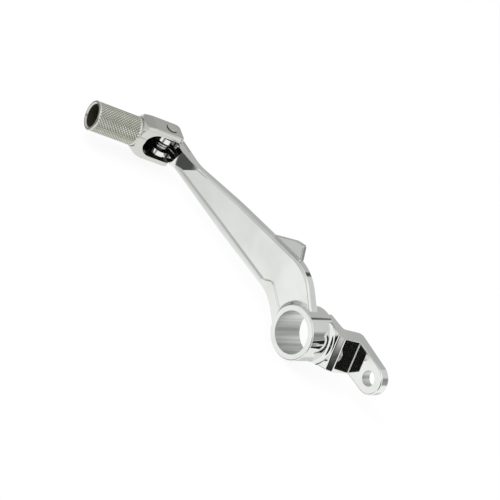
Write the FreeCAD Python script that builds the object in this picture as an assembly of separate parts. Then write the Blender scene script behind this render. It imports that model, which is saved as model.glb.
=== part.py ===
import FreeCAD, Part
import math
import os

# Foot brake lever with a folding toe peg. Millimetres.
# Origin: middle of the pivot bore. +X runs to the toe, +Y outboard along the bore, +Z to the stop tab.
V = FreeCAD.Vector

# Pivot boss
BORE_R = 11.0
BOSS_R = 14.25
BOSS_LEN = 19.0
BOSS_FRONT = BOSS_LEN / 2
BOSS_BACK = -BOSS_LEN / 2
BOSS_EDGE_R = 0.7
BACK_CONE = 1.6
BACK_CONE_LEN = 2.8
BOSS_ROOT_R = 2.2
SPOT_FACE_R = BOSS_R - BACK_CONE / 2

# Main arm, seen square on: X and Z of each corner and the radius it is rounded to
RING_RISE = 3.0
ARM_FACE = BOSS_FRONT - RING_RISE
ARM_THICK = 6.0
ARM_BACK = ARM_FACE - ARM_THICK
ARM_EDGE_R = 1.0
FACE_EDGE_R = 1.5
LONG_EDGE = 20.0
TIP_HALF = 5.7
ARM_LOW_SIDE = [(6.0, -12.7, 0), (26.5, -0.5, 25), (75.0, -3.7, 300), (126.0, -TIP_HALF, 30)]
ARM_HIGH_SIDE = [(117.5, TIP_HALF, 40), (80.0, 14.4, 300), (19.0, 26.0, 26), (-3.0, 11.6, 0)]

# Raised rim left along the low side when the face was relieved
RIM_RISE = 0.9
RIM_TOP = ARM_FACE + RIM_RISE
RIM_ROOT_R = 0.85
RIM_EDGE_R = 0.8
RIM_SPLIT = -0.9
RIM_LINE = [(11.0, -2.3, 0), (29.2, 5.9, 3), (34.5, 2.0, 4), (80.0, -0.2, 200), (128.0, -3.2, 0)]

# Stop tab on the high side
TAB_THICK = 3.0
TAB_EDGE_R = 0.7
TAB_LINE = [(62.0, 15.0, 0), (50.5, 19.8, 14), (37.0, 29.0, 12), (31.0, 31.2, 1.5),
            (26.0, 23.3, 3), (21.0, 21.0, 0), (21.0, 12.0, 0), (62.0, 12.0, 0)]

# Hinge at the toe end
PIN_X = 140.4
PIN_RISE = 4.9
PIN_Y = ARM_FACE + PIN_RISE
PIN_R = 3.0
PIN_RUN = 0.05
LUG_R = 6.0
SLOT_HALF = 2.75
LEDGE_RISE = 2.3
LEDGE_Y = ARM_FACE + LEDGE_RISE
SCOOP_LOW = (126.0, 129.5)
SCOOP_HIGH = (111.5, 126.5)
SCOOP_SAG = 0.12
SLOT_SINK = 2.1
SLOT_FLOOR = ARM_FACE - SLOT_SINK
SLOT_END_X = 128.5
NOSE_ANGLE = -30.0
NOSE_R = 3.0

# Short arm behind the boss, joggled inboard to the pushrod eye
ROOT_DROP = 16.5
ROOT_FRONT = BOSS_FRONT - ROOT_DROP
ROOT_THICK = 5.0
ROOT_BACK = ROOT_FRONT - ROOT_THICK
ROOT_RISE = 1.6
ROOT_TOP = ROOT_FRONT + ROOT_RISE
ROOT_SINK = 0.6
ROOT_BEND_X = -16.4
ROOT_BEND_R = 2.0
ROOT_EDGE_R = 1.1
EYE_DROP = 28.3
EYE_FACE = BOSS_FRONT - EYE_DROP
EYE_THICK = 6.0
EYE_BACK = EYE_FACE - EYE_THICK
EYE_X = -34.7
EYE_Z = 4.9
EYE_R = 8.4
EYE_HOLE_R = 4.0
WALL_TOP_X = -19.5
WALL_FOOT_X = -20.9
RISER_TOP_X = -12.3
RISER_FOOT_X = -15.1
RISER_TOP_R = 2.0
RISER_FOOT_R = 3.0
WALL_SKEW = 0.36
WALL_REF_Z = 5.0
SHORT_HIGH_START = (4.0, 11.0)
SHORT_LOW = [(-23.5, -4.0, 12), (-9.5, -10.0, 0)]
SHORT_EDGE_R = 0.8
WALL_ROOT_R = 0.5
SHORT_ROOT_R = 1.6

# Toe peg: a tube and its fork, drawn along its own axis from the pin, then leaned and set on the pin
PEG_LEAN = 17.0
PEG_R = 8.35
PEG_RAISE = 0.5
PEG_BORE_R = 6.3
PEG_START = 18.8
PEG_END = 45.7
PEG_BORE_FLOOR = 21.0
PEG_RIM = 0.4
PEG_MOUTH = 0.9
NECK_LEN = 0.9
NECK_CUT = 0.5
NECK_R = PEG_R - NECK_CUT
EAR_CLEAR = 1.5
EAR_IN = TIP_HALF + EAR_CLEAR
EAR_OUT = 10.1
EAR_R = 7.8
EAR_CORNER_R = 3.6
FORK_HALF = 7.4
FORK_SHOULDER = 11.0
SHOULDER_R = 8.0
FORK_EDGE_R = 2.0
FORK_LOW_EDGE_R = 0.8
FORK_LAP = 0.3
CROTCH = 13.6
BACK_CLEAR = 0.45
BACK_WALL_IN = LUG_R + BACK_CLEAR
BACK_WALL_END = 0.5

# Rivet
HEAD_R = 3.5
HEAD_FLAT_R = 2.9
HEAD_SEAT = 0.4
HEAD_RISE = 0.7

# Torsion spring between the lugs
WIRE_R = 0.7
COIL_R = 4.3
COIL_PITCH = 1.55
COIL_TURNS = 2
LEG_LEN = 10.5
LEG_SEAT = 0.01
LEG_CLEAR = 0.2
LEG_HOLE_R = WIRE_R + LEG_CLEAR
LEG_IN = 1.6
LEG_REACH = CROTCH + LEG_IN
LEG_END_GAP = 0.6
LEG_HOLE_END = LEG_REACH + LEG_END_GAP


def side(x, y):
    """Point in the plane that holds the arm's thickness."""
    return V(x, y, 0)


def plan(x, z):
    """Point in the plane that the bore passes through squarely."""
    return V(x, 0, z)


def path(corners, place, closed=False):
    """Edges through the corners, each corner rounded to its own radius."""
    points = [place(c[0], c[1]) for c in corners]
    count = len(points)
    starts, ends, arcs = [], [], []
    for i, corner in enumerate(corners):
        here = points[i]
        radius = corner[2]
        inner = closed or 0 < i < count - 1
        if radius == 0 or not inner:
            starts.append(here)
            ends.append(here)
            arcs.append(None)
            continue
        back = (points[i - 1] - here).normalize()
        ahead = (points[(i + 1) % count] - here).normalize()
        half = back.getAngle(ahead) / 2
        reach = radius / math.tan(half)
        middle = (back + ahead).normalize()
        starts.append(here + back * reach)
        ends.append(here + ahead * reach)
        arcs.append(here + middle * (radius / math.sin(half) - radius))
    edges = []
    last = count if closed else count - 1
    for i in range(count):
        if arcs[i] is not None:
            edges.append(Part.Arc(starts[i], arcs[i], ends[i]).toShape())
        if i < last and (starts[(i + 1) % count] - ends[i]).Length > 1e-6:
            edges.append(Part.LineSegment(ends[i], starts[(i + 1) % count]).toShape())
    return edges


def face_of(edges):
    return Part.Face(Part.Wire(Part.__sortEdges__(edges)))


def plan_prism(corners, low, high):
    """Solid with a plan outline, between two heights along the bore."""
    outline = face_of(path(corners, plan, closed=True))
    outline.translate(V(0, low, 0))
    return outline.extrude(V(0, high - low, 0))


def along_y(radius, low, high, x=0.0, z=0.0):
    return Part.makeCylinder(radius, high - low, V(x, low, z), V(0, 1, 0))


def along_z(radius, low, high, x, y):
    return Part.makeCylinder(radius, high - low, V(x, y, low), V(0, 0, 1))


def spun(corners):
    """Solid of revolution about Y from radius and height corners."""
    return face_of(path(corners, side, closed=True)).revolve(V(0, 0, 0), V(0, 1, 0), 360)


def on_plane_y(edge, y, tol=1e-4):
    box = edge.BoundBox
    return abs(box.YMin - y) < tol and abs(box.YMax - y) < tol


def on_plan_line(edge, first, last, tol=1e-3):
    """True for an edge whose middle lies on the plan line between two corners."""
    middle = edge.CenterOfMass
    line = Part.LineSegment(plan(*first[:2]), plan(*last[:2])).toShape()
    return Part.Vertex(plan(middle.x, middle.z)).distToShape(line)[0] < tol


def touch_point(corner, x, z, radius, turn):
    """Plan point where a line from the corner touches a circle; turn picks the side."""
    span = math.hypot(corner[0] - x, corner[1] - z)
    angle = math.atan2(corner[1] - z, corner[0] - x) + turn * math.acos(radius / span)
    return (x + radius * math.cos(angle), z + radius * math.sin(angle))


def round_edges(shape, radius, wanted):
    return shape.makeFillet(radius, [e for e in shape.Edges if wanted(e)])


# Lever: main arm
tip_far = PIN_X + 3 * LUG_R
reach = 3 * BOSS_R
arm_plan = ARM_LOW_SIDE + [(tip_far, -TIP_HALF, 0), (tip_far, TIP_HALF, 0)] + ARM_HIGH_SIDE
nose = math.radians(NOSE_ANGLE)
nose_x = PIN_X + LUG_R * math.cos(nose)
nose_y = PIN_Y + LUG_R * math.sin(nose)
nose_drop = nose_y - ARM_BACK
nose_foot = nose_x + nose_drop * math.tan(nose)
lug_x = PIN_X - LUG_R
lower = path([(nose_x, nose_y, 0), (nose_foot, ARM_BACK, NOSE_R), (-BORE_R, ARM_BACK, 0),
              (-BORE_R, ARM_FACE, 0), (lug_x, ARM_FACE, 0), (lug_x, PIN_Y, 0)], side)
lug_arc = Part.Arc(side(lug_x, PIN_Y), side(PIN_X, PIN_Y + LUG_R), side(nose_x, nose_y)).toShape()
profile = face_of(lower + [lug_arc])
profile.translate(V(0, 0, -reach))
bar = plan_prism(arm_plan, ARM_BACK, PIN_Y + 2 * LUG_R)
bar = round_edges(bar, ARM_EDGE_R, lambda e: on_plane_y(e, ARM_BACK) and e.BoundBox.ZLength < LONG_EDGE
                  and e.BoundBox.XMin < PIN_X)
arm = bar.common(profile.extrude(V(0, 0, 2 * reach))).Solids[0]
arm = round_edges(arm, FACE_EDGE_R, lambda e: on_plane_y(e, ARM_FACE) and e.BoundBox.XLength > LONG_EDGE
                  and e.BoundBox.ZMin > TIP_HALF)


def scoop_outline(foot, top, z):
    """Outline of the cut in front of the hinge block: a hollow ramp from the arm's face to the ledge."""
    dip = side((foot + top) / 2, (ARM_FACE + LEDGE_Y) / 2 - SCOOP_SAG * (LEDGE_Y - ARM_FACE))
    ramp = Part.Arc(side(foot, ARM_FACE), dip, side(top, LEDGE_Y)).toShape()
    rest = path([(top, LEDGE_Y, 0), (top, 2 * LEDGE_Y, 0), (BOSS_R, 2 * LEDGE_Y, 0), (BOSS_R, ARM_BACK, 0),
                 (foot, ARM_BACK, 0), (foot, ARM_FACE, 0)], side)
    outline = Part.Wire([ramp] + rest)
    outline.translate(V(0, 0, z))
    return outline


# Hinge block: raised to the ledge, with a scoop that runs longer on the high side
block = Part.makeBox(PIN_X - BOSS_R, LEDGE_Y - ARM_BACK - ARM_THICK / 2, 2 * reach,
                     V(BOSS_R, ARM_BACK + ARM_THICK / 2, -reach)).common(bar)
scoop = Part.makeLoft([scoop_outline(*SCOOP_LOW, -TIP_HALF - 1), scoop_outline(*SCOOP_HIGH, TIP_HALF + 1)],
                      True, True)
clear_low = Part.Face(scoop_outline(*SCOOP_LOW, -TIP_HALF - 1)).extrude(V(0, 0, -reach))
clear_high = Part.Face(scoop_outline(*SCOOP_HIGH, TIP_HALF + 1)).extrude(V(0, 0, reach))
block = block.cut(scoop.multiFuse([clear_low, clear_high]))

# Rim on the low side of the face
rim_region = RIM_LINE + [(RIM_LINE[-1][0], -reach, 0), (RIM_LINE[0][0], -reach, 0)]
rim_base = ARM_BACK + ARM_THICK / 3
rim = plan_prism(rim_region, rim_base, RIM_TOP).common(plan_prism(arm_plan, rim_base, RIM_TOP))
arm = arm.fuse(rim).removeSplitter().Solids[0]
arm = round_edges(arm, RIM_EDGE_R, lambda e: on_plane_y(e, RIM_TOP) and e.BoundBox.XLength > LONG_EDGE
                  and e.BoundBox.ZMax < RIM_SPLIT)
arm = round_edges(arm, RIM_ROOT_R, lambda e: on_plane_y(e, ARM_FACE) and e.BoundBox.XLength > LONG_EDGE
                  and RIM_SPLIT < e.BoundBox.ZMax < TIP_HALF)

# Stop tab
tab = plan_prism(TAB_LINE, ARM_BACK, ARM_BACK + TAB_THICK)
tab = round_edges(tab, TAB_EDGE_R, lambda e: e.BoundBox.YLength < 1e-4
                  and on_plan_line(e, TAB_LINE[1], TAB_LINE[2]))

# Pivot boss with the blends at its two roots
boss = spun([(0.0, BOSS_BACK, 0), (BOSS_R - BACK_CONE, BOSS_BACK, 0),
             (BOSS_R, BOSS_BACK + BACK_CONE_LEN, 0), (BOSS_R, BOSS_FRONT, BOSS_EDGE_R),
             (0.0, BOSS_FRONT, 0)])
far = BOSS_R + 1.05 * BOSS_ROOT_R
front_blend = spun([(BORE_R, ARM_FACE - 1, 0), (far, ARM_FACE - 1, 0), (far, ARM_FACE, 0),
                    (BOSS_R, ARM_FACE, BOSS_ROOT_R), (BOSS_R, BOSS_FRONT - BOSS_EDGE_R, 0),
                    (BORE_R, BOSS_FRONT - BOSS_EDGE_R, 0)])
high_run = plan(*ARM_HIGH_SIDE[-1][:2]) - plan(*ARM_HIGH_SIDE[-2][:2])
blend_limit = plan_prism(arm_plan, ARM_FACE - 1, BOSS_FRONT)
front_blend = front_blend.common(blend_limit)
blend_limit.translate(high_run.cross(V(0, 1, 0)).normalize() * FACE_EDGE_R)
front_blend = front_blend.common(blend_limit)

# Short arm
eye_top = touch_point(SHORT_HIGH_START, EYE_X, EYE_Z, EYE_R, 1)
eye_end = (EYE_X - EYE_R, EYE_Z)
eye_low = touch_point(SHORT_LOW[0], EYE_X, EYE_Z, EYE_R, -1)
short_edges = [Part.LineSegment(plan(*SHORT_HIGH_START), plan(*eye_top)).toShape(),
               Part.Arc(plan(*eye_top), plan(*eye_end), plan(*eye_low)).toShape()]
short_edges += path([eye_low + (0,)] + SHORT_LOW + [SHORT_HIGH_START + (0,)], plan)
short_face = face_of(short_edges)
short_face.translate(V(0, EYE_BACK - 1, 0))
short_prism = short_face.extrude(V(0, ROOT_FRONT - EYE_BACK + 8, 0))
root_line = face_of(path([(3.0, ROOT_TOP, 0), (ROOT_BEND_X, ROOT_TOP, ROOT_BEND_R),
                          (WALL_TOP_X, ROOT_FRONT - ROOT_SINK, ROOT_EDGE_R),
                          (WALL_FOOT_X, EYE_FACE, WALL_ROOT_R),
                          (EYE_X - 3 * EYE_R, EYE_FACE, 0), (EYE_X - 3 * EYE_R, EYE_BACK, 0),
                          (RISER_FOOT_X, EYE_BACK, RISER_FOOT_R), (RISER_TOP_X, ROOT_BACK, RISER_TOP_R),
                          (3.0, BOSS_BACK, 0)], side, closed=True))
root_line.translate(V(-WALL_SKEW * reach, 0, WALL_REF_Z - reach))
short_arm = short_prism.common(root_line.extrude(V(2 * WALL_SKEW * reach, 0, 2 * reach))).Solids[0]
short_arm = round_edges(short_arm, SHORT_EDGE_R,
                        lambda e: (on_plane_y(e, EYE_FACE) or on_plane_y(e, EYE_BACK))
                        and on_plan_line(e, SHORT_HIGH_START, eye_top))
far = BOSS_R + 1.05 * SHORT_ROOT_R
back_blend = spun([(BORE_R, ROOT_TOP - 1, 0), (far, ROOT_TOP - 1, 0), (far, ROOT_TOP, 0),
                   (BOSS_R, ROOT_TOP, SHORT_ROOT_R), (BOSS_R, ROOT_TOP + 1.3 * SHORT_ROOT_R, 0),
                   (BORE_R, ROOT_TOP + 1.3 * SHORT_ROOT_R, 0)])
back_blend = back_blend.common(short_prism)

lever = arm.multiFuse([block, tab, boss, front_blend, short_arm, back_blend])
lever = lever.cut(along_y(SPOT_FACE_R, EYE_BACK - 2, BOSS_BACK))
lever = lever.cut(along_y(BORE_R, EYE_BACK, BOSS_FRONT + RING_RISE))
lever = lever.cut(along_y(EYE_HOLE_R, EYE_BACK - 2, EYE_FACE + 2, EYE_X, EYE_Z))
lever = lever.cut(along_z(PIN_R + PIN_RUN, -EAR_OUT, EAR_OUT, PIN_X, PIN_Y))
slot_turn = SLOT_END_X + SLOT_HALF
slot = Part.makeBox(tip_far - slot_turn, 3 * LUG_R, 2 * SLOT_HALF, V(slot_turn, SLOT_FLOOR, -SLOT_HALF))
slot = slot.fuse(along_y(SLOT_HALF, SLOT_FLOOR, SLOT_FLOOR + 3 * LUG_R, slot_turn))
lever = lever.cut(slot).removeSplitter()

# Toe peg along its own axis: Y runs from the pin to the open end
tube = spun([(0.0, CROTCH, 0), (NECK_R, CROTCH, 0), (NECK_R, PEG_START, 0), (PEG_R, PEG_START, 0),
             (PEG_R, PEG_END - PEG_RIM, 0), (PEG_R - PEG_RIM, PEG_END, 0),
             (PEG_BORE_R + PEG_MOUTH, PEG_END, 0), (PEG_BORE_R, PEG_END - PEG_MOUTH, 0),
             (PEG_BORE_R, PEG_BORE_FLOOR, 0), (0.0, PEG_BORE_FLOOR, 0)])
tube.translate(V(0, 0, PEG_RAISE))
fork_end = PEG_START - NECK_LEN


def across(z, y):
    """Point in the plane that holds the fork's two ears."""
    return V(-FORK_HALF, y, z)


neck_half = PEG_R + FORK_LAP
fork = face_of(path([(-EAR_OUT, -EAR_R, 0), (EAR_OUT, -EAR_R, 0), (EAR_OUT, FORK_SHOULDER, SHOULDER_R),
                     (PEG_RAISE + neck_half, fork_end, 0), (PEG_RAISE - neck_half, fork_end, 0),
                     (-EAR_OUT, FORK_SHOULDER, SHOULDER_R)], across, closed=True))
fork = fork.extrude(V(2 * FORK_HALF, 0, 0))
fork = round_edges(fork, EAR_CORNER_R, lambda e: e.BoundBox.ZLength > EAR_OUT
                   and e.BoundBox.YMax < -EAR_R + 1e-3)


def fork_rim(edge, end):
    """True for the outer edges of the ear at one end of the pin."""
    box = edge.BoundBox
    level = box.YLength < 1e-4 and box.YMin > -EAR_R + 1e-3
    return not level and box.ZLength < EAR_OUT and edge.CenterOfMass.z * end > 0


fork = round_edges(fork, FORK_EDGE_R, lambda e: fork_rim(e, 1))
fork = round_edges(fork, FORK_LOW_EDGE_R, lambda e: fork_rim(e, -1))
flare = spun([(0.0, -2 * EAR_R, 0), (neck_half + fork_end, -2 * EAR_R, 0), (neck_half + fork_end, 0.0, 0),
              (neck_half, fork_end, 0), (0.0, fork_end, 0)])
flare.translate(V(0, 0, PEG_RAISE))
fork = fork.common(flare).Solids[0]
crotch_mid = CROTCH - EAR_IN
gap_len = 2 * EAR_R + BACK_WALL_IN
gap = Part.makeBox(gap_len, crotch_mid + 2 * EAR_R, 2 * EAR_IN, V(-2 * EAR_R, -2 * EAR_R, -EAR_IN))
gap = gap.fuse(Part.makeCylinder(EAR_IN, gap_len, V(-2 * EAR_R, crotch_mid, 0), V(1, 0, 0)))
under = Part.makeBox(4 * EAR_R, 2 * EAR_R + BACK_WALL_END, 2 * EAR_IN, V(-2 * EAR_R, -2 * EAR_R, -EAR_IN))
gap = gap.fuse(under)
toe_peg = fork.fuse(tube).cut(gap)
toe_peg = toe_peg.cut(along_z(PIN_R, -2 * EAR_OUT, 2 * EAR_OUT, 0, 0))
for end in (-1, 1):
    seat = Part.makeCylinder(HEAD_R, EAR_R, V(0, 0, end * (EAR_OUT - HEAD_SEAT)), V(0, 0, end))
    toe_peg = toe_peg.cut(seat)
coil_z = COIL_PITCH * COIL_TURNS / 2
leg_hole = Part.makeCylinder(LEG_HOLE_R, LEG_HOLE_END, V(COIL_R, 0, coil_z), V(0, 1, 0))
web = Part.makeBox(2 * FORK_HALF, PEG_START, 2 * EAR_OUT, V(-FORK_HALF, crotch_mid, -EAR_OUT))
toe_peg = toe_peg.cut(leg_hole.common(web)).removeSplitter()

# Rivet: shank with a low crowned head at both ends
seat = EAR_OUT - HEAD_SEAT
crown = EAR_OUT + HEAD_RISE
hinge_pin = spun([(0.0, -crown, 0), (HEAD_FLAT_R, -crown, 0), (HEAD_R, -EAR_OUT, 0), (HEAD_R, -seat, 0),
                  (PIN_R, -seat, 0), (PIN_R, seat, 0), (HEAD_R, seat, 0), (HEAD_R, EAR_OUT, 0),
                  (HEAD_FLAT_R, crown, 0), (0.0, crown, 0)])
hinge_pin.rotate(V(0, 0, 0), V(1, 0, 0), 90)
hinge_pin.translate(V(PIN_X, PIN_Y, 0))

# Torsion spring: a leg on the floor of the slot, a flat part turn, rising half turns, a leg into the fork
leg_drop = PIN_Y - SLOT_FLOOR - LEG_SEAT
tilt = math.atan2(LEG_LEN, COIL_R) - math.acos((leg_drop - WIRE_R) / math.hypot(LEG_LEN, COIL_R))
start = tilt - math.pi / 2
finish = -math.radians(PEG_LEAN)


def coil_point(turn, z):
    return V(COIL_R * math.cos(turn), COIL_R * math.sin(turn), z)


def coil_run(turn):
    return V(-math.sin(turn), math.cos(turn), 0)


slot_leg = coil_point(start, -coil_z) - coil_run(start) * LEG_LEN
fork_leg = coil_point(finish, coil_z) + coil_run(finish) * LEG_REACH
runs = [Part.LineSegment(slot_leg, coil_point(start, -coil_z)).toShape()]
runs.append(Part.Arc(coil_point(start, -coil_z), coil_point((start + finish) / 2, -coil_z),
                     coil_point(finish, -coil_z)).toShape())
swell = math.hypot(COIL_R, COIL_PITCH / 4) / COIL_R
for i in range(2 * COIL_TURNS):
    turn = finish + i * math.pi
    z = -coil_z + i * COIL_PITCH / 2
    crest = coil_point(turn + math.pi / 2, 0) * swell + V(0, 0, z + COIL_PITCH / 4)
    rise = Part.Arc(coil_point(turn, z), crest, coil_point(turn + math.pi, z + COIL_PITCH / 2))
    runs.append(rise.toShape())
runs.append(Part.LineSegment(coil_point(finish, coil_z), fork_leg).toShape())
ring = Part.Wire([Part.Circle(slot_leg, coil_run(start), WIRE_R).toShape()])
torsion_spring = Part.Wire(runs).makePipe(Part.Face(ring))
torsion_spring.translate(V(PIN_X, PIN_Y, 0))

toe_peg.rotate(V(0, 0, 0), V(0, 0, 1), -PEG_LEAN)
toe_peg.translate(V(PIN_X, PIN_Y, 0))

os.makedirs("parts", exist_ok=True)
nodes = {"lever": lever, "toe_peg": toe_peg, "hinge_pin": hinge_pin, "torsion_spring": torsion_spring}
for name, shape in nodes.items():
    print(name, shape.ShapeType, len(shape.Solids), shape.isValid(), round(shape.Volume, 1), shape.BoundBox)
    shape.exportStep("parts/" + name + ".step")
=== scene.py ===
"""Looks of a motorcycle rear brake lever with a folding toe peg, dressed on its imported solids.

The forged lever and its rivet are shown as packed, and a web fills out the root of the lever's
short arm. The toe peg gets its cut knurl, and the torsion spring is wound in two pieces, so that
its coil stays with the lever and its leg folds with the peg.
"""

import logging
import math
from dataclasses import dataclass, field
from enum import Enum
from typing import Any, Iterable, Mapping, Optional, Union

import bmesh
import bpy
from mathutils import Matrix, Vector


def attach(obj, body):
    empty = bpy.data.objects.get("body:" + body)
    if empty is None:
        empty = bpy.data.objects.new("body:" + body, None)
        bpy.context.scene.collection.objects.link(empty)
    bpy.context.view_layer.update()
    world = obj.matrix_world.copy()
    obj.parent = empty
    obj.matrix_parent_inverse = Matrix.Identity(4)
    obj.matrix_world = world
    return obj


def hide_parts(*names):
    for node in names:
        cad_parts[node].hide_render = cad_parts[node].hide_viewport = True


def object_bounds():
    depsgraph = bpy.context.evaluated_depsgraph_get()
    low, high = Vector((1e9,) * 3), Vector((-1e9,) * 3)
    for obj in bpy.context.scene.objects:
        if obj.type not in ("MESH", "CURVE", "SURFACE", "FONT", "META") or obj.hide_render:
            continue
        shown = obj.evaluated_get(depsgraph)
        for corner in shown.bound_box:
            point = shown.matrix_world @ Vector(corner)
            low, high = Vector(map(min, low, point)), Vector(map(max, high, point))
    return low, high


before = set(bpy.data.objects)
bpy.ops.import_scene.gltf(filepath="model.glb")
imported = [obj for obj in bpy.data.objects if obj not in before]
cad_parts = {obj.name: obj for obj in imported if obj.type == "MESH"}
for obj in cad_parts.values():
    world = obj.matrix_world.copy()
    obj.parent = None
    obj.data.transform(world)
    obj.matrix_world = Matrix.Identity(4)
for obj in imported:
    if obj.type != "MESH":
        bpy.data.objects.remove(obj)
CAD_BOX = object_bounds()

log = logging.getLogger("brake_lever")

MM = 0.001
Colour = tuple[float, float, float, float]
Place = tuple[float, float, float]
Pair = tuple[float, float]

# Middle of the rivet that the peg folds on, in the row frame.
PIN: Place = (140.4 * MM, 11.4 * MM, 0.0)


class Body(Enum):
    """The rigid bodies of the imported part."""

    LEVER = "lever"
    TOE_PEG = "toe_peg"


class Signal:
    """A value in a node tree. Python's operators on it add Math nodes."""

    def __init__(self, graph: "Graph", socket: bpy.types.NodeSocket) -> None:
        """Keeps an output socket and the graph that it belongs to."""
        self.graph = graph
        self.socket = socket

    def __add__(self, other: "Operand") -> "Signal":
        """Sum of this value and another."""
        return self.graph.maths("ADD", self, other)

    __radd__ = __add__

    def __sub__(self, other: "Operand") -> "Signal":
        """This value less another."""
        return self.graph.maths("SUBTRACT", self, other)

    def __rsub__(self, other: "Operand") -> "Signal":
        """Another value less this one."""
        return self.graph.maths("SUBTRACT", other, self)

    def __mul__(self, other: "Operand") -> "Signal":
        """Product of this value and another."""
        return self.graph.maths("MULTIPLY", self, other)

    __rmul__ = __mul__

    def __pow__(self, other: "Operand") -> "Signal":
        """This value raised to a power."""
        return self.graph.maths("POWER", self, other)

    def __abs__(self) -> "Signal":
        """This value without its sign."""
        return self.graph.maths("ABSOLUTE", self)


Operand = Union[Signal, float, int]
Parts = tuple[Signal, Signal, Signal]


class Graph:
    """Writes one node tree: a material's or the world's."""

    def __init__(self, tree: bpy.types.NodeTree) -> None:
        """Takes a tree and clears what it starts with."""
        self.tree = tree
        tree.nodes.clear()

    def node(
        self,
        kind: str,
        settings: Optional[Mapping[str, Any]] = None,
        inputs: Optional[Mapping[Union[str, int], Any]] = None,
    ) -> bpy.types.Node:
        """Adds a node.

        Args:
            kind: Blender's name of the node type.
            settings: properties to set first.
            inputs: values or links, by the socket's name or number.

        Returns:
            The new node.
        """
        made = self.tree.nodes.new(kind)
        for name, value in (settings or {}).items():
            setattr(made, name, value)
        for name, value in (inputs or {}).items():
            if isinstance(value, Signal):
                self.tree.links.new(value.socket, made.inputs[name])
            elif isinstance(value, bpy.types.NodeSocket):
                self.tree.links.new(value, made.inputs[name])
            else:
                made.inputs[name].default_value = value
        return made

    def maths(self, operation: str, *operands: Operand) -> Signal:
        """Adds a Math node.

        Args:
            operation: the node's operation.
            operands: its values or links, in order.

        Returns:
            The result as a value to go on with.
        """
        made = self.node("ShaderNodeMath", {"operation": operation}, dict(enumerate(operands)))
        return Signal(self, made.outputs[0])

    def smooth_step(self, value: Signal, low: float, high: float) -> Signal:
        """Rises smoothly from 0 to 1 as the value goes from low to high.

        Args:
            value: what is tested.
            low: where the rise starts.
            high: where it ends.

        Returns:
            The share, from 0 to 1.
        """
        made = self.node(
            "ShaderNodeMapRange",
            {"interpolation_type": "SMOOTHSTEP"},
            {"Value": value, "From Min": low, "From Max": high},
        )
        return Signal(self, made.outputs["Result"])

    def ripple(self, value: Signal, pitch: float) -> Signal:
        """Waves from 0 to 1 along a value.

        Args:
            value: what the waves run along.
            pitch: length of one wave.

        Returns:
            The waves.
        """
        return self.maths("SINE", value * (2 * math.pi / pitch)) * 0.5 + 0.5

    def position(self, into: Optional[Matrix] = None) -> bpy.types.NodeSocket:
        """Place on the piece, in the row frame or in a piece's own axes.

        Args:
            into: matrix from the row frame to the piece's own axes.

        Returns:
            The vector's socket.
        """
        coordinates = self.node("ShaderNodeTexCoord").outputs["Object"]
        if into is None:
            return coordinates
        mapping = self.node(
            "ShaderNodeMapping",
            {"vector_type": "POINT"},
            {
                "Vector": coordinates,
                "Location": into.to_translation(),
                "Rotation": into.to_euler(),
            },
        )
        return mapping.outputs[0]

    def split(self, vector: bpy.types.NodeSocket) -> Parts:
        """The three parts of a vector."""
        parts = self.node("ShaderNodeSeparateXYZ", inputs={0: vector})
        return tuple(Signal(self, part) for part in parts.outputs)

    def noise(self, vector: bpy.types.NodeSocket, scale: float, detail: float = 2.0) -> Signal:
        """Cloudy noise from 0 to 1.

        Args:
            vector: place that the noise is read at.
            scale: clouds per metre.
            detail: how many finer octaves are added.

        Returns:
            The noise.
        """
        inputs = {"Vector": vector, "Scale": scale, "Detail": detail}
        made = self.node("ShaderNodeTexNoise", None, inputs)
        return Signal(self, made.outputs[0])

    def mix(self, share: Operand, first: Any, second: Any) -> bpy.types.NodeSocket:
        """Mixes two colours.

        Args:
            share: 0 gives the first colour and 1 the second.
            first: a colour or a link.
            second: a colour or a link.

        Returns:
            The colour's socket.
        """
        inputs = {0: share, 6: first, 7: second}
        made = self.node("ShaderNodeMix", {"data_type": "RGBA"}, inputs)
        return made.outputs[2]

    def bump(self, height: Signal, depth: float) -> bpy.types.NodeSocket:
        """Normal of a surface raised by a height.

        Args:
            height: from 0 to 1 over the surface.
            depth: what a height of 1 stands for, in metres.

        Returns:
            The normal's socket.
        """
        inputs = {"Height": height, "Distance": depth, "Strength": 1.0}
        made = self.node("ShaderNodeBump", None, inputs)
        return made.outputs[0]

    def surface(self, inputs: Mapping[str, Any]) -> None:
        """Ends a material in a Principled surface with these inputs."""
        shader = self.node("ShaderNodeBsdfPrincipled", None, inputs)
        self.node("ShaderNodeOutputMaterial", None, {"Surface": shader.outputs[0]})


def slant(first: Signal, second: Signal) -> Signal:
    """Length of two parts at right angles."""
    return (first * first + second * second) ** 0.5


def new_material(name: str) -> tuple[bpy.types.Material, Graph]:
    """Makes an empty node material.

    Args:
        name: the material's name.

    Returns:
        The material and the graph that writes its nodes.
    """
    material = bpy.data.materials.new(name)
    material.use_nodes = True
    return material, Graph(material.node_tree)


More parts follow.
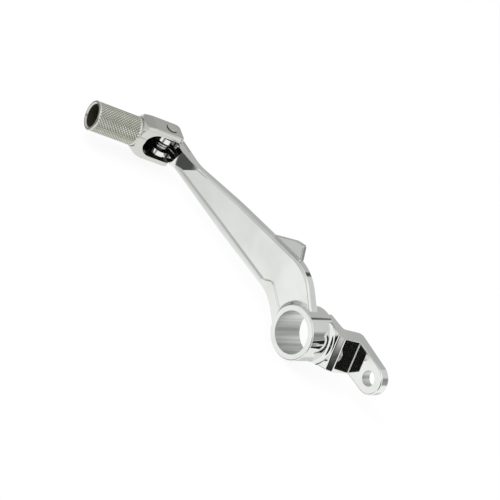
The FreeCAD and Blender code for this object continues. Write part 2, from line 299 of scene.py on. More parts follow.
@dataclass(frozen=True)
class ChromePlate:
    """Polished plate on the forging, with machined bores and a machined slot left satin. The slot
    and the corner at the lugs' foot are painted dark as shade, and the rim's step gets a soft
    painted shade.
    """

    bright: Colour = (0.835, 0.85, 0.825, 1.0)
    haze: Colour = (0.765, 0.78, 0.75, 1.0)
    satin: Colour = (0.76, 0.775, 0.75, 1.0)
    honed: Colour = (0.56, 0.575, 0.555, 1.0)
    slot_painted_shade: Colour = (0.10, 0.10, 0.095, 1.0)
    dulled_and_shade: Colour = (0.60, 0.615, 0.595, 1.0)
    polish: float = 0.045
    haze_polish: float = 0.10
    satin_polish: float = 0.42
    cloud_scale: float = 55.0
    cloud_detail: float = 4.0
    cloud_range: Pair = (0.35, 0.75)
    wave_scale: float = 70.0
    wave_detail: float = 1.0
    wave_depth: float = 0.02 * MM
    streak_scale: float = 420.0
    streak_detail: float = 3.0
    streak_range: Pair = (0.35, 0.65)
    streak_stretch: float = 0.03
    tool_pitch: float = 0.35 * MM
    tool_depth: float = 0.004 * MM
    edge: float = 0.1 * MM
    under_face: float = 0.2 * MM
    shade_full: float = 0.45 * MM
    shade_reach: float = 0.9 * MM
    crease_reach: float = 1.8 * MM
    crease_full: float = 0.3 * MM
    crease_past: float = 0.45 * MM
    crease_end: float = 3.6 * MM
    crease_share: float = 0.75
    tab_gap: float = 0.3 * MM
    tab_polish: float = 0.20

    def material(self, name: str, shape: "Lever") -> bpy.types.Material:
        """Writes the plate for the lever's own holes.

        Args:
            name: the material's name.
            shape: gives the places and sizes of the machined holes.

        Returns:
            The material.
        """
        material, graph = new_material(name)
        place = graph.position()
        parts = graph.split(place)
        bores = self._in_bores(parts, shape)
        slot = self._in_slot(graph, parts, shape)
        machined = graph.maths("MAXIMUM", bores, slot)
        clouds = graph.noise(place, self.cloud_scale, self.cloud_detail)
        cloud = graph.smooth_step(clouds, *self.cloud_range)
        tab = self._on_tab(parts, shape)
        crease = self._painted_rim_shade(graph, parts, shape)
        # the tab is dulled by its own finish; the rim's step gets painted shade in the same dulled
        # colour
        dull = graph.maths("MAXIMUM", crease * self.crease_share, tab)
        plated = graph.mix(dull, graph.mix(cloud, self.bright, self.haze), self.dulled_and_shade)
        satin = graph.mix(self._streaks(graph, place), self.satin, self.honed)
        # painted shade: the slot and the corner at the lugs' foot are mixed to a dark grey
        metal = graph.mix(slot, graph.mix(bores, plated, satin), self.slot_painted_shade)
        polish = self.polish + cloud * (self.haze_polish - self.polish) + tab * self.tab_polish
        rough = polish + machined * (self.satin_polish - polish)
        waves = graph.noise(place, self.wave_scale, self.wave_detail)
        tool_marks = graph.ripple(parts[1], self.tool_pitch)
        ratio = self.tool_depth / self.wave_depth
        height = waves * (1 - bores) + tool_marks * bores * ratio
        graph.surface(
            {
                "Base Color": metal,
                "Metallic": 1.0,
                "Roughness": rough,
                "Normal": graph.bump(height, self.wave_depth),
            }
        )
        return material

    def _past(self, value: Signal, start: float) -> Signal:
        """Rises from 0 to 1 over one sharp edge."""
        return value.graph.smooth_step(value, start, start + self.edge)

    def _in_bores(self, place: Parts, shape: "Lever") -> Signal:
        """The walls of the pivot bore and of the eye.

        Args:
            place: the three parts of the place on the lever.
            shape: gives the places and sizes of the two holes.

        Returns:
            1 on their walls, and 0 elsewhere.
        """
        x, _, z = place
        eye_x, eye_z = shape.eye
        from_eye = slant(x - eye_x, z - eye_z)
        return 1 - self._past(slant(x, z), shape.bore) * self._past(from_eye, shape.eye_hole)

    def _in_slot(self, graph: Graph, place: Parts, shape: "Lever") -> Signal:
        """The slot between the lugs, and the corner at the lugs' foot, which the plate paints dark
        as shade.

        Args:
            graph: the plate's graph.
            place: the three parts of the place on the lever.
            shape: gives the places and sizes of the slot and the lugs.

        Returns:
            1 in them, and 0 elsewhere.
        """
        x, y, z = place
        lug_x, ledge_y = shape.lug_foot
        inside = 1 - self._past(abs(z), shape.slot_half)
        inside = inside * self._past(y, shape.slot_floor - self.under_face)
        from_foot = slant(x - lug_x, y - ledge_y)
        # painted shade in the corner at the lugs' foot, fading out between shade_full and
        # shade_reach
        foot = 1 - graph.smooth_step(from_foot, self.shade_full, self.shade_reach)
        return graph.maths("MAXIMUM", self._past(x, shape.slot_start) * inside, foot)

    def _streaks(self, graph: Graph, place: bpy.types.NodeSocket) -> Signal:
        """Streaks along the machined bores.

        Args:
            graph: the plate's graph.
            place: place on the lever.

        Returns:
            The streaks' share, from 0 to 1.
        """
        drawn_out = graph.node(
            "ShaderNodeMapping",
            {"vector_type": "POINT"},
            {"Vector": place, "Scale": (1.0, self.streak_stretch, 1.0)},
        )
        streaks = graph.noise(drawn_out.outputs[0], self.streak_scale, self.streak_detail)
        return graph.smooth_step(streaks, *self.streak_range)

    def _painted_rim_shade(self, graph: Graph, place: Parts, shape: "Lever") -> Signal:
        """Soft band of painted shade along the step of the raised rim.

        Args:
            graph: the plate's graph.
            place: the three parts of the place on the lever.
            shape: gives the line of the rim and the height of the face.

        Returns:
            The band's share, from 0 to 1.
        """
        x, y, z = place
        runs = [self._height(x, *ends) for ends in zip(shape.rim, shape.rim[1:])]
        past = z - graph.maths("MINIMUM", *runs)
        band = graph.smooth_step(past, -self.crease_reach, -self.crease_full)
        band = band * (1 - graph.smooth_step(past, 0.0, self.crease_past))
        start, end = shape.rim[0][0], shape.rim[-1][0]
        ends = graph.smooth_step(x, start, start + self.crease_reach)
        ends = ends * (1 - graph.smooth_step(x, end - self.crease_end, end))
        return band * ends * self._past(y, shape.face - self.under_face)

    def _on_tab(self, place: Parts, shape: "Lever") -> Signal:
        """The stop tab, which is less polished than the arm.

        Args:
            place: the three parts of the place on the lever.
            shape: gives the wall that the tab stands on and the height of its top.

        Returns:
            1 on the tab, and 0 elsewhere.
        """
        x, y, z = place
        past = z - self._height(x, *shape.tab_wall)
        return self._past(past, self.tab_gap) * (1 - self._past(y, shape.tab_top))

    @staticmethod
    def _height(x: Signal, first: Pair, last: Pair) -> Signal:
        """Height at x of the plan line through two points."""
        return (x - first[0]) * ((last[1] - first[1]) / (last[0] - first[0])) + first[1]


@dataclass(frozen=True)
class KnurledSatin:
    """Satin plate on the toe peg: warm on the knurl, bright on the fork, with painted shade down
    the tube, in the knurl's grooves and in the fork's gap.
    """

    knurl: Colour = (0.85, 0.865, 0.77, 1.0)
    knurl_worn: Colour = (0.71, 0.725, 0.64, 1.0)
    knurl_groove_shade: Colour = (0.31, 0.32, 0.27, 1.0)
    plain: Colour = (0.66, 0.66, 0.625, 1.0)
    inside: Colour = (0.045, 0.042, 0.028, 1.0)
    gap: Colour = (0.016, 0.015, 0.013, 1.0)
    knurl_polish: float = 0.30
    plain_polish: float = 0.12
    inside_polish: float = 0.65
    inside_metal: float = 0.35
    cloud_scale: float = 180.0
    cloud_detail: float = 3.0
    cloud_range: Pair = (0.3, 0.7)
    cloud_polish: float = 0.06
    grain_scale: float = 2600.0
    grain_depth: float = 0.006 * MM
    edge: float = 0.15 * MM
    gap_edge: float = 0.045 * MM
    under_knurl: float = 0.6 * MM
    crest_share: float = 0.25

    def material(self, name: str, shape: "ToePeg") -> bpy.types.Material:
        """Writes the satin plate in the peg's own axes.

        Args:
            name: the material's name.
            shape: gives the peg's place and sizes.

        Returns:
            The material.
        """
        material, graph = new_material(name)
        place = graph.position(shape.place().inverted())
        across, along, up = graph.split(place)
        from_axis = slant(across, up)
        past_fork = self._past(along, shape.start - self.edge, self.edge)
        hollow = past_fork * (1 - self._past(from_axis, shape.bore + self.edge, self.edge))
        knurled = past_fork * self._past(from_axis, shape.radius - self.under_knurl, self.edge)
        # painted shade: the gap between the fork's ears is mixed to near black
        past_gap = graph.maths("MAXIMUM", along - (shape.crotch - shape.gap_half), 0.0)
        from_gap = slant(past_gap, up + shape.raised)
        ahead = 1 - self._past(across, shape.back_wall + self.gap_edge, self.gap_edge)
        gap = ahead * (1 - self._past(from_gap, shape.gap_half + self.gap_edge, self.gap_edge))
        clouds = graph.noise(place, self.cloud_scale, self.cloud_detail)
        cloud = graph.smooth_step(clouds, *self.cloud_range)
        # painted shade: the knurl is darker towards the bottom of its grooves
        groove = shape.radius - shape.groove
        groove_shade = 1 - self._past(from_axis, groove, shape.groove * (1 - self.crest_share))
        crests = graph.mix(cloud, self.knurl, self.knurl_worn)
        skin = graph.mix(knurled, self.plain, graph.mix(groove_shade, crests, self.knurl_groove_shade))
        rough = self.plain_polish + knurled * (self.knurl_polish - self.plain_polish)
        rough = rough + cloud * self.cloud_polish
        grain = graph.noise(place, self.grain_scale)
        graph.surface(
            {
                # painted shade: near black in the fork's gap, and dark inside the tube's hollow,
                # which is also rougher and less metallic
                "Base Color": graph.mix(gap, graph.mix(hollow, skin, self.inside), self.gap),
                "Metallic": 1.0 - (hollow + gap) * (1.0 - self.inside_metal),
                "Roughness": rough + hollow * (self.inside_polish - rough),
                "Normal": graph.bump(grain, self.grain_depth),
            }
        )
        return material

    @staticmethod
    def _past(value: Signal, start: float, run: float) -> Signal:
        """Rises from 0 to 1 over a run."""
        return value.graph.smooth_step(value, start, start + run)


@dataclass(frozen=True)
class TurnedSteel:
    """Satin steel with turning rings about an upright axis and painted shade round the rim of its
    head, for the rivet.
    """

    steel: Colour = (0.80, 0.785, 0.70, 1.0)
    dull: Colour = (0.66, 0.65, 0.57, 1.0)
    head_rim_shade: Colour = (0.09, 0.085, 0.07, 1.0)
    head_rim_shade_start: float = 2.95 * MM
    head_rim_shade_full: float = 3.1 * MM
    polish: float = 0.16
    dull_polish: float = 0.30
    ring_pitch: float = 0.30 * MM
    ring_depth: float = 0.004 * MM
    cloud_scale: float = 500.0
    cloud_detail: float = 3.0

    def material(self, name: str, axis: Vector) -> bpy.types.Material:
        """Writes the steel with its rings about an axis.

        Args:
            name: the material's name.
            axis: a point on the upright axis, in the row frame.

        Returns:
            The material.
        """
        material, graph = new_material(name)
        place = graph.position(Matrix.Translation(-axis))
        x, y, _ = graph.split(place)
        from_axis = slant(x, y)
        rings = graph.ripple(from_axis, self.ring_pitch)
        cloud = graph.noise(place, self.cloud_scale, self.cloud_detail)
        # painted shade: dark from the rim of the rivet's head outwards
        head_rim_shade = graph.smooth_step(from_axis, self.head_rim_shade_start, self.head_rim_shade_full)
        steel = graph.mix(cloud, self.steel, self.dull)
        graph.surface(
            {
                "Base Color": graph.mix(head_rim_shade, steel, self.head_rim_shade),
                "Metallic": 1.0,
                "Roughness": self.polish + cloud * (self.dull_polish - self.polish),
                "Normal": graph.bump(rings, self.ring_depth),
            }
        )
        return material


@dataclass(frozen=True)
class DrawnWire:
    """Bright drawn spring wire with faint die streaks and darker patches."""

    bright: Colour = (0.72, 0.72, 0.70, 1.0)
    dark: Colour = (0.46, 0.46, 0.44, 1.0)
    polish: float = 0.18
    dark_polish: float = 0.34
    streak_scale: float = 900.0
    streak_detail: float = 3.0
    streak_depth: float = 0.005 * MM

    def material(self, name: str) -> bpy.types.Material:
        """Writes the wire's finish.

        Args:
            name: the material's name.

        Returns:
            The material.
        """
        material, graph = new_material(name)
        streak = graph.noise(graph.position(), self.streak_scale, self.streak_detail)
        graph.surface(
            {
                "Base Color": graph.mix(streak, self.bright, self.dark),
                "Metallic": 1.0,
                "Roughness": self.polish + streak * (self.dark_polish - self.polish),
                "Normal": graph.bump(streak, self.streak_depth),
            }
        )
        return material


def new_piece(name: str, mesh: bmesh.types.BMesh, material: bpy.types.Material) -> bpy.types.Object:
    """Turns a finished bmesh into an object of the scene.

    Args:
        name: the piece's name.
        mesh: its shape in the row frame; it is freed.
        material: its finish.

    Returns:
        The object, at the origin.
    """
    data = bpy.data.meshes.new(name)
    mesh.to_mesh(data)
    mesh.free()
    data.materials.append(material)
    piece = bpy.data.objects.new(name, data)
    bpy.context.scene.collection.objects.link(piece)
    return piece


def dress(node: str, material: bpy.types.Material) -> bpy.types.Object:
    """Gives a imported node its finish.

    Args:
        node: the node's name.
        material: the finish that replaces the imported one.

    Returns:
        The node's object.
    """
    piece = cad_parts[node]
    piece.data.materials.clear()
    piece.data.materials.append(material)
    return piece


def sweep(shape: bmesh.types.BMesh, steps: Iterable[Matrix]) -> None:
    """Draws a closed shape out from its first face.

    The faces come in the same order on each run, which those of the spin operator don't.

    Args:
        shape: a mesh that has only the first face.
        steps: what moves the last face on, step by step.
    """
    (last,) = shape.faces
    last.copy(verts=False, edges=False)
    for step in steps:
        (last,) = bmesh.ops.extrude_discrete_faces(shape, faces=[last])["faces"]
        bmesh.ops.transform(shape, matrix=step, verts=last.verts[:])


def join(shape: bmesh.types.BMesh, other: bmesh.types.BMesh) -> None:
    """Adds one mesh to another.

    Args:
        shape: the mesh that grows.
        other: what is added to it; it is freed.
    """
    data = bpy.data.meshes.new("joined")
    other.to_mesh(data)
    other.free()
    shape.from_mesh(data)
    bpy.data.meshes.remove(data)


def shade(shape: bmesh.types.BMesh, crease: float) -> None:
    """Smooths every face and keeps the creases between them sharp.

    Args:
        shape: the mesh.
        crease: the least angle between the faces of a sharp edge.
    """
    for face in shape.faces:
        face.smooth = True
    for edge in shape.edges:
        edge.smooth = edge.calc_face_angle(0.0) < crease


def even_normals(piece: bpy.types.Object) -> None:
    """Keeps a piece's flats flat beside its rounded edges."""
    even = piece.modifiers.new("even_normals", "WEIGHTED_NORMAL")
    even.keep_sharp = True


@dataclass
class RootWeb:
    """The short arm's high side, carried on straight from the eye to the top of the boss.

    Its lengths are in millimetres. A plan line gives X and Z, the profile gives X, Y and the reach
    of each rounded corner, and the hollow blend round the boss gives radius, Y and reach.
    """

    plan: tuple[Pair, ...] = ((0.5, 13.44), (-34.67, 13.3), (-34.67, 12.3), (-10.5, 10.9))
    profile: tuple[Place, ...] = (
        (4.0, -5.37, 0.0),
        (-16.43, -5.37, 0.64),
        (-19.53, -7.57, 0.48),
        (-20.93, -18.77, 0.44),
        (-45.0, -18.77, 0.0),
        (-45.0, -24.83, 0.0),
        (-15.1, -24.83, 2.41),
        (-12.3, -12.03, 1.36),
        (4.0, -9.36, 0.0),
    )
    fillet: tuple[Place, ...] = (
        (13.9, -6.0, 0.0),
        (16.7, -6.0, 0.0),
        (16.7, -5.37, 0.0),
        (14.28, -5.37, 2.35),
        (14.28, -2.95, 0.0),
        (13.9, -2.95, 0.0),
    )
    fillet_turn: Pair = (math.radians(100.0), math.radians(225.0))
    fillet_steps: int = 72
    fillet_segments: int = 16
    low_side: tuple[Pair, ...] = ((-23.5, -4.0), (-9.5, -10.0))
    skew: float = 0.36
    level: float = 5.0
    span: Pair = (9.0, 16.0)
    eye_edge: float = 0.8
    long_edge: float = 8.0
    match: float = 0.01
    segments: int = 6
    crease: float = math.radians(25.0)

    def build(self, material: bpy.types.Material) -> bpy.types.Object:
        """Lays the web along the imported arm.

        Args:
            material: the lever's own finish.

        Returns:
            The piece.
        """
        shape = self._slab()
        for first, last in zip(self.plan, self.plan[1:] + self.plan[:1]):
            self._trim(shape, first, last)
        self._round_eye(shape)
        self._add_fillet(shape)
        bmesh.ops.recalc_face_normals(shape, faces=shape.faces)
        shade(shape, self.crease)
        bmesh.ops.scale(shape, vec=(MM, MM, MM), verts=shape.verts)
        piece = new_piece("short_arm_web", shape, material)
        even_normals(piece)
        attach(piece, Body.LEVER.value)
        return piece

    @staticmethod
    def _outline(line: tuple[Place, ...], segments: int) -> bmesh.types.BMesh:
        """Draws a face through corners that are each rounded over a reach.

        Args:
            line: X, Y and reach of each corner.
            segments: how many runs a rounded corner has.

        Returns:
            The face in a mesh of its own.
        """
        shape = bmesh.new()
        corners = [shape.verts.new((x, y, 0.0)) for x, y, _ in line]
        shape.faces.new(corners)
        for corner, (_, _, reach) in zip(corners, line):
            if reach:
                bmesh.ops.bevel(
                    shape,
                    geom=[corner],
                    offset=reach,
                    offset_type="OFFSET",
                    affect="VERTICES",
                    segments=segments,
                    profile=0.5,
                    material=-1,
                )
        return shape

    def _slab(self) -> bmesh.types.BMesh:
        """Draws the arm's joggled side and carries it up along its skew.

        Returns:
            The slab in a mesh of its own.
        """
        low, high = self.span
        foot = Vector((self.skew * (low - self.level), 0.0, low))
        rise = Vector((self.skew, 0.0, 1.0)) * (high - low)
        shape = self._outline(self.profile, self.segments)
        bmesh.ops.translate(shape, vec=foot, verts=shape.verts)
        sweep(shape, [Matrix.Translation(rise)])
        return shape

    @staticmethod
    def _trim(shape: bmesh.types.BMesh, first: Pair, last: Pair) -> None:
        """Cuts a shape along a line of the plan and closes the cut.

        Args:
            shape: the shape, which keeps what is on the line's inner side.
            first: X and Z of the line's first point.
            last: X and Z of its last point.
        """
        run = Vector((last[0] - first[0], 0.0, last[1] - first[1]))
        cut = bmesh.ops.bisect_plane(
            shape,
            geom=shape.verts[:] + shape.edges[:] + shape.faces[:],
            plane_co=(first[0], 0.0, first[1]),
            plane_no=Vector((0.0, 1.0, 0.0)).cross(run),
            clear_outer=True,
        )
        rim = [g for g in cut["geom_cut"] if isinstance(g, bmesh.types.BMEdge)]
        bmesh.ops.contextual_create(shape, geom=rim)

    def _add_fillet(self, shape: bmesh.types.BMesh) -> None:
        """Sweeps the hollow blend round the boss, from the web's high side to the arm's low side.

        Args:
            shape: the trimmed web.
        """
        start, end = self.fillet_turn
        blend = self._outline(self.fillet, self.fillet_segments)
        to_start = Matrix.Rotation(-start, 3, "Y")
        bmesh.ops.rotate(blend, matrix=to_start, verts=blend.verts)
        step = Matrix.Rotation((start - end) / self.fillet_steps, 4, "Y")
        sweep(blend, [step] * self.fillet_steps)
        self._trim(blend, *self.plan[:2])
        self._trim(blend, *self.low_side)
        join(shape, blend)

    def _round_eye(self, shape: bmesh.types.BMesh) -> None:
        """Rounds the two long outer edges of the eye's end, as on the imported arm.

        Args:
            shape: the trimmed web.
        """
        (x0, z0), (x1, z1) = self.plan[:2]
        slope = (z1 - z0) / (x1 - x0)
        shoulder_y = self.profile[2][1]
        longs = [
            e
            for e in shape.edges
            if e.calc_length() > self.long_edge
            and all(abs(v.co.z - z0 - slope * (v.co.x - x0)) < self.match for v in e.verts)
            and abs(e.verts[0].co.y - e.verts[1].co.y) < self.match
            and e.verts[0].co.y < shoulder_y
        ]
        bmesh.ops.bevel(
            shape,
            geom=longs,
            offset=self.eye_edge,
            offset_type="OFFSET",
            affect="EDGES",
            segments=self.segments,
            profile=0.5,
            material=-1,
        )


@dataclass
class Lever:
    """The forged lever, shown as packed, with the web at the root of its short arm."""

    finish: ChromePlate = field(default_factory=ChromePlate)
    bore: float = 11.0 * MM
    eye: Pair = (-34.7 * MM, 4.9 * MM)
    eye_hole: float = 4.0 * MM
    slot_half: float = 2.75 * MM
    slot_start: float = 128.4 * MM
    slot_floor: float = 4.4 * MM
    lug_foot: Pair = (134.4 * MM, 8.8 * MM)
    face: float = 6.5 * MM
    rim: tuple[Pair, ...] = (
        (34.5 * MM, 2.0 * MM),
        (80.0 * MM, -0.2 * MM),
        (128.0 * MM, -3.2 * MM),
    )
    tab_wall: tuple[Pair, ...] = ((19.0 * MM, 26.0 * MM), (80.0 * MM, 14.4 * MM))
    tab_top: float = 3.5 * MM
    web: RootWeb = field(default_factory=RootWeb)

    def build(self) -> list[bpy.types.Object]:
        """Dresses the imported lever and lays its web."""
        material = self.finish.material("lever_chrome", self)
        return [dress("lever", material), self.web.build(material)]


@dataclass
class HingePin:
    """The rivet that the peg folds on, shown as packed."""

    axis: Place = PIN
    finish: TurnedSteel = field(default_factory=TurnedSteel)

    def build(self) -> list[bpy.types.Object]:
        """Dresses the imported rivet."""
        return [dress("hinge_pin", self.finish.material("rivet_steel", Vector(self.axis)))]


@dataclass
class ToePeg:
    """The folding toe peg: its packed fork and tube with a real diamond knurl cut round it."""

    pin: Place = PIN
    lean: float = math.radians(17.0)
    raised: float = 0.5 * MM
    radius: float = 8.35 * MM
    bore: float = 6.3 * MM
    start: float = 18.8 * MM
    end: float = 45.3 * MM
    gap_half: float = 7.2 * MM
    crotch: float = 13.6 * MM
    back_wall: float = 6.45 * MM
    run_in: float = 0.25 * MM
    columns: int = 60
    rows: int = 30
    groove: float = 0.28 * MM
    merge: float = 0.0005 * MM
    match: float = 0.02 * MM
    crease: float = math.radians(25.0)
    finish: KnurledSatin = field(default_factory=KnurledSatin)

    def place(self) -> Matrix:
        """Matrix from the peg's own axes, Y along the tube, to the row frame."""
        foot = Vector(self.pin) + Vector((0.0, 0.0, self.raised))
        return Matrix.Translation(foot) @ Matrix.Rotation(-self.lean, 4, "Z")

    @staticmethod
    def from_axis(point: Vector) -> float:
        """Distance of a point from the tube's axis."""
        return math.hypot(point.x, point.z)

    def build(self) -> list[bpy.types.Object]:
        """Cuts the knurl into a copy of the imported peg.

        Returns:
            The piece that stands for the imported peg.
        """
        shape = bmesh.new()
        shape.from_mesh(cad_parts["toe_peg"].data)
        bmesh.ops.remove_doubles(shape, verts=shape.verts, dist=self.merge)
        bmesh.ops.transform(shape, matrix=self.place().inverted(), verts=shape.verts)
        plain = [f for f in shape.faces if all(self._on_wall(v.co) for v in f.verts)]
        bmesh.ops.delete(shape, geom=plain, context="FACES")
        shade(shape, self.crease)
        self._cut_knurl(shape)
        bmesh.ops.transform(shape, matrix=self.place(), verts=shape.verts)
        material = self.finish.material("toe_peg_satin", self)
        piece = new_piece("toe_peg_knurled", shape, material)
        even_normals(piece)
        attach(piece, Body.TOE_PEG.value)
        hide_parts("toe_peg")
        return [piece]

    def _on_wall(self, point: Vector) -> bool:
        """True for a point on the plain outer wall that the knurl takes the place of."""
        on_radius = abs(self.from_axis(point) - self.radius) < self.match
        return on_radius and self.start - self.match < point.y < self.end + self.match

    def _sleeve(self) -> bmesh.types.BMesh:
        """Cuts the diamond knurl round a plain sleeve.

        Returns:
            The sleeve in the peg's own axes, open at both ends.
        """
        length = self.end - self.start - 2 * self.run_in
        low = self.start + self.run_in
        middle = Matrix.Translation((0.0, low + length / 2, 0.0))
        sleeve = bmesh.new()
        bmesh.ops.create_cone(
            sleeve,
            cap_ends=False,
            segments=self.columns,
            radius1=self.radius,
            radius2=self.radius,
            depth=length,
            matrix=middle @ Matrix.Rotation(-math.pi / 2, 4, "X"),
        )
        uprights = [
            e for e in sleeve.edges if abs(e.verts[0].co.y - e.verts[1].co.y) > length / 2
        ]
        bmesh.ops.subdivide_edges(sleeve, edges=uprights, cuts=self.rows - 1)
        grooves = []
        sink = 1 - self.groove / self.radius
        for point in sleeve.verts:
            row = round((point.co.y - low) / length * self.rows)
            turn = math.atan2(point.co.z, point.co.x)
            column = round(turn / (2 * math.pi) * self.columns)
            if (row + column) % 2:
                grooves.append(point)
                if 0 < row < self.rows:
                    point.co.x *= sink
                    point.co.z *= sink
        bmesh.ops.connect_verts(sleeve, verts=grooves)
        return sleeve

    def _cut_knurl(self, shape: bmesh.types.BMesh) -> None:
        """Adds the knurled sleeve and joins it to the open ends of the wall.

        Args:
            shape: the peg in its own axes, with its plain outer wall taken away.
        """
        join(shape, self._sleeve())
        middle = (self.start + self.end) / 2
        for side in (-1, 1):
            rims = [
                e
                for e in shape.edges
                if e.is_boundary and (e.verts[0].co.y - middle) * side > 0
            ]
            bmesh.ops.bridge_loops(shape, edges=rims)


@dataclass
class TorsionSpring:
    """The return spring, wound in two pieces that share its last part turn."""

    axis: Place = PIN
    wire: float = 0.7 * MM
    coil: float = 4.3 * MM
    pitch: float = 1.55 * MM
    turns: int = 2
    slot_leg: float = 10.5 * MM
    fork_leg: float = 15.2 * MM
    leg_start: float = math.radians(-78.6)
    leg_finish: float = math.radians(-17.0)
    shared_turn: float = math.radians(100.0)
    inner_share: float = 0.985
    sides: int = 16
    steps_per_turn: int = 40
    finish: DrawnWire = field(default_factory=DrawnWire)

    def build(self) -> list[bpy.types.Object]:
        """Winds both pieces.

        Returns:
            The coil with its slot leg, and the leg that folds with the peg.
        """
        material = self.finish.material("spring_wire")
        rise = self.pitch * self.turns
        flat = self.leg_finish - self.leg_start
        coil = self._disc(self.leg_start, -rise / 2, self.wire, -self.slot_leg)
        sweep(
            coil,
            [
                self._straight(self.leg_start, self.slot_leg),
                *self._wind(flat, 0.0),
                *self._wind(2 * math.pi * self.turns, rise),
            ],
        )
        share = self.pitch * self.shared_turn / (2 * math.pi)
        begin = self.leg_finish - self.shared_turn
        leg = self._disc(begin, rise / 2 - share, self.wire * self.inner_share, 0.0)
        sweep(
            leg,
            [
                *self._wind(self.shared_turn, share),
                self._straight(self.leg_finish, self.fork_leg),
            ],
        )
        for mesh in (coil, leg):
            bmesh.ops.recalc_face_normals(mesh, faces=mesh.faces)
            for face in mesh.faces:
                face.smooth = len(face.verts) < self.sides
        pieces = [
            new_piece("spring_coil", coil, material),
            new_piece("spring_fork_leg", leg, material),
        ]
        for piece, body in zip(pieces, (Body.LEVER, Body.TOE_PEG)):
            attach(piece, body.value)
        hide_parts("torsion_spring")
        return pieces

    @staticmethod
    def _run(turn: float) -> Vector:
        """Direction of the wire at an angle round the coil."""
        return Vector((-math.sin(turn), math.cos(turn), 0.0))

    def _disc(self, turn: float, z: float, radius: float, ahead: float) -> bmesh.types.BMesh:
        """Starts a wire with its first section.

        Args:
            turn: angle round the coil.
            z: height on the coil.
            radius: the wire's radius.
            ahead: how far along the wire's run the section is moved.

        Returns:
            The section in a mesh of its own.
        """
        out = Vector((math.cos(turn), math.sin(turn), 0.0))
        up = Vector((0.0, 0.0, 1.0))
        centre = Vector(self.axis) + out * self.coil + up * z + self._run(turn) * ahead
        axes = Matrix((out, up, out.cross(up))).transposed().to_4x4()
        mesh = bmesh.new()
        bmesh.ops.create_circle(
            mesh,
            cap_ends=True,
            segments=self.sides,
            radius=radius,
            matrix=Matrix.Translation(centre) @ axes,
        )
        return mesh

    def _straight(self, turn: float, length: float) -> Matrix:
        """The step that carries the wire straight on.

        Args:
            turn: angle round the coil, which gives the direction.
            length: how far the wire goes.

        Returns:
            The step's matrix.
        """
        return Matrix.Translation(self._run(turn) * length)

    def _wind(self, turn: float, rise: float) -> list[Matrix]:
        """The steps that wind the wire round the rivet.

        Args:
            turn: angle to wind through.
            rise: how far the wire climbs on the way.

        Returns:
            The matrix of each step.
        """
        steps = round(self.steps_per_turn * turn / (2 * math.pi))
        axis = Vector(self.axis)
        climb = Vector((0.0, 0.0, rise / steps))
        spin = Matrix.Rotation(turn / steps, 4, "Z")
        return [Matrix.Translation(axis + climb) @ spin @ Matrix.Translation(-axis)] * steps


@dataclass(frozen=True)
class DimSide:
    """A side of the studio that polished metal sees darker than the white around it.

    A level over 1 makes a light gap in a darker side instead.
    """

    towards: Place
    inner: float
    outer: float
    level: float

    def share(self, graph: Graph, direction: Parts) -> Signal:
        """What is left of the white in a direction.

        Args:
            graph: the world's graph.
            direction: the three parts of the direction looked in.

        Returns:
            1 outside this side, and the side's own level inside it.
        """
        aim = Vector(self.towards).normalized()
        facing = direction[0] * aim.x + direction[1] * aim.y + direction[2] * aim.z
        outer, inner = (math.cos(math.radians(turn)) for turn in (self.outer, self.inner))
        inside = graph.smooth_step(facing, outer, inner)
        return 1.0 - inside * (1.0 - self.level)


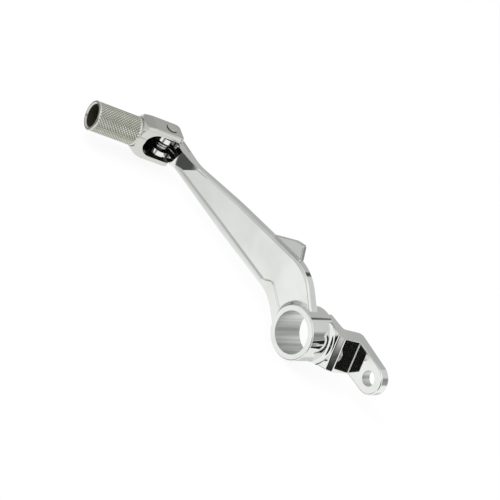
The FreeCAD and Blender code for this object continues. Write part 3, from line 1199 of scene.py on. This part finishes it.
@dataclass
class Studio:
    """White floor and surround with a few dim sides, and a soft lamp."""

    target: Place = (60.0 * MM, 5.0 * MM, 5.0 * MM)
    floor_size: float = 6.0
    floor_white: Colour = (0.95, 0.95, 0.95, 1.0)
    white: Colour = (1.0, 1.0, 1.0, 1.0)
    shadow_share: float = 0.12
    surround: float = 1.0
    dim_sides: tuple[DimSide, ...] = (
        DimSide((-0.683, 0.729, -0.021), 22.0, 30.0, 0.01),
        DimSide((-0.650, 0.762, -0.032), 2.3, 3.3, 80.0),
        DimSide((0.600, -0.735, 0.310), 21.0, 32.0, 0.51),
        DimSide((0.210, -0.730, 0.649), 2.5, 6.0, 0.10),
        DimSide((-0.626, -0.724, 0.263), 10.0, 22.0, 0.34),
        DimSide((-0.213, -0.729, 0.646), 15.0, 32.0, 0.70),
        DimSide((0.301, -0.717, -0.620), 20.0, 38.0, 0.66),
        DimSide((0.507, 0.457, 0.730), 20.0, 45.0, 0.72),
        DimSide((0.507, -0.100, 0.856), 20.0, 40.0, 0.74),
        DimSide((0.950, 0.200, -0.100), 18.0, 36.0, 0.50),
        DimSide((0.504, 0.852, 0.119), 6.0, 19.0, 0.50),
        DimSide((0.050, 0.950, 0.300), 5.0, 12.0, 0.25),
        DimSide((0.820, 0.474, -0.320), 12.0, 29.0, 0.65),
        DimSide((0.230, 0.720, -0.655), 9.5, 14.5, 0.08),
    )
    lamp_place: Place = (0.35, 0.55, 0.75)
    lamp_size: float = 0.5
    lamp_power: float = 3.0

    def build(self) -> None:
        """Sets up the floor, the world and the lamp."""
        self._floor()
        self._world()
        self._lamp()
        log.info("studio with %d dim sides", len(self.dim_sides))

    @staticmethod
    def _rays(graph: Graph) -> tuple[Signal, Signal]:
        """Tells apart how a surface is seen.

        Args:
            graph: the graph that asks.

        Returns:
            1 for what the camera sees, and 1 for what metal or glass sees.
        """
        path = graph.node("ShaderNodeLightPath")
        kinds = ("Is Camera Ray", "Is Glossy Ray", "Is Transmission Ray")
        camera, glossy, through = (Signal(graph, path.outputs[kind]) for kind in kinds)
        return camera, graph.maths("MINIMUM", glossy + through, 1.0)

    def _floor(self) -> None:
        """Lays the white floor under the object's lowest point."""
        mesh = bmesh.new()
        bmesh.ops.create_grid(
            mesh,
            x_segments=1,
            y_segments=1,
            size=self.floor_size / 2,
            matrix=Matrix.Translation((0.0, 0.0, CAD_BOX[0].z)),
        )
        material, graph = new_material("floor_white")
        dull = graph.node("ShaderNodeBsdfDiffuse", None, {"Color": self.floor_white})
        glow = graph.node("ShaderNodeEmission", None, {"Strength": 1.0})
        camera, mirrored = self._rays(graph)
        share = (camera + mirrored) * (1.0 - self.shadow_share)
        inputs = {0: share, 1: dull.outputs[0], 2: glow.outputs[0]}
        both = graph.node("ShaderNodeMixShader", None, inputs)
        graph.node("ShaderNodeOutputMaterial", None, {"Surface": both.outputs[0]})
        floor = new_piece("floor", mesh, material)
        floor.visible_glossy = False

    def _world(self) -> None:
        """Surrounds the object with white that has a few dim sides."""
        world = bpy.data.worlds.new("white_surround")
        world.use_nodes = True
        bpy.context.scene.world = world
        graph = Graph(world.node_tree)
        camera, mirrored = self._rays(graph)
        direction = graph.split(graph.position())
        seen: Operand = 1.0
        for dim_side in self.dim_sides:
            seen = dim_side.share(graph, direction) * seen
        level = camera + mirrored * seen + (1 - camera - mirrored) * self.surround
        inputs = {"Color": self.white, "Strength": level}
        glow = graph.node("ShaderNodeBackground", None, inputs)
        graph.node("ShaderNodeOutputWorld", None, {"Surface": glow.outputs[0]})

    def _lamp(self) -> None:
        """Hangs one soft lamp over the arm."""
        data = bpy.data.lights.new("soft_lamp", "AREA")
        data.size = self.lamp_size
        data.energy = self.lamp_power
        lamp = bpy.data.objects.new("soft_lamp", data)
        lamp.location = self.lamp_place
        lamp.visible_glossy = False
        lamp.rotation_mode = "QUATERNION"
        aim = Vector(self.target) - lamp.location
        lamp.rotation_quaternion = aim.to_track_quat("-Z", "Y")
        bpy.context.scene.collection.objects.link(lamp)


@dataclass
class Camera:
    """The photograph's view, in the row frame."""

    place: Place = (-315.7 * MM, 537.3 * MM, 337.4 * MM)
    right: Place = (-0.480, -0.680, 0.552)
    away: Place = (0.507, -0.730, -0.457)
    lens: float = 100.8
    sensor: float = 36.0
    clip: Pair = (0.01, 20.0)

    def build(self) -> None:
        """Makes the scene's camera."""
        away = Vector(self.away).normalized()
        right = Vector(self.right)
        right = (right - away * right.dot(away)).normalized()
        up = right.cross(away)
        data = bpy.data.cameras.new("photo_camera")
        data.lens = self.lens
        data.sensor_width = self.sensor
        data.clip_start, data.clip_end = self.clip
        camera = bpy.data.objects.new("photo_camera", data)
        axes = Matrix((right, up, -away)).transposed().to_4x4()
        camera.matrix_world = Matrix.Translation(self.place) @ axes
        bpy.context.scene.collection.objects.link(camera)
        bpy.context.scene.camera = camera


def main() -> None:
    """Dresses the part, reports its pieces and sets up its studio."""
    logging.basicConfig(level=logging.INFO)
    for assembly in (Lever(), HingePin(), ToePeg(), TorsionSpring()):
        for piece in assembly.build():
            log.info("%s with %d faces", piece.name, len(piece.data.polygons))
    Studio().build()
    Camera().build()
    bpy.context.scene.view_settings.view_transform = "Standard"


if __name__ == "__main__":
    main()
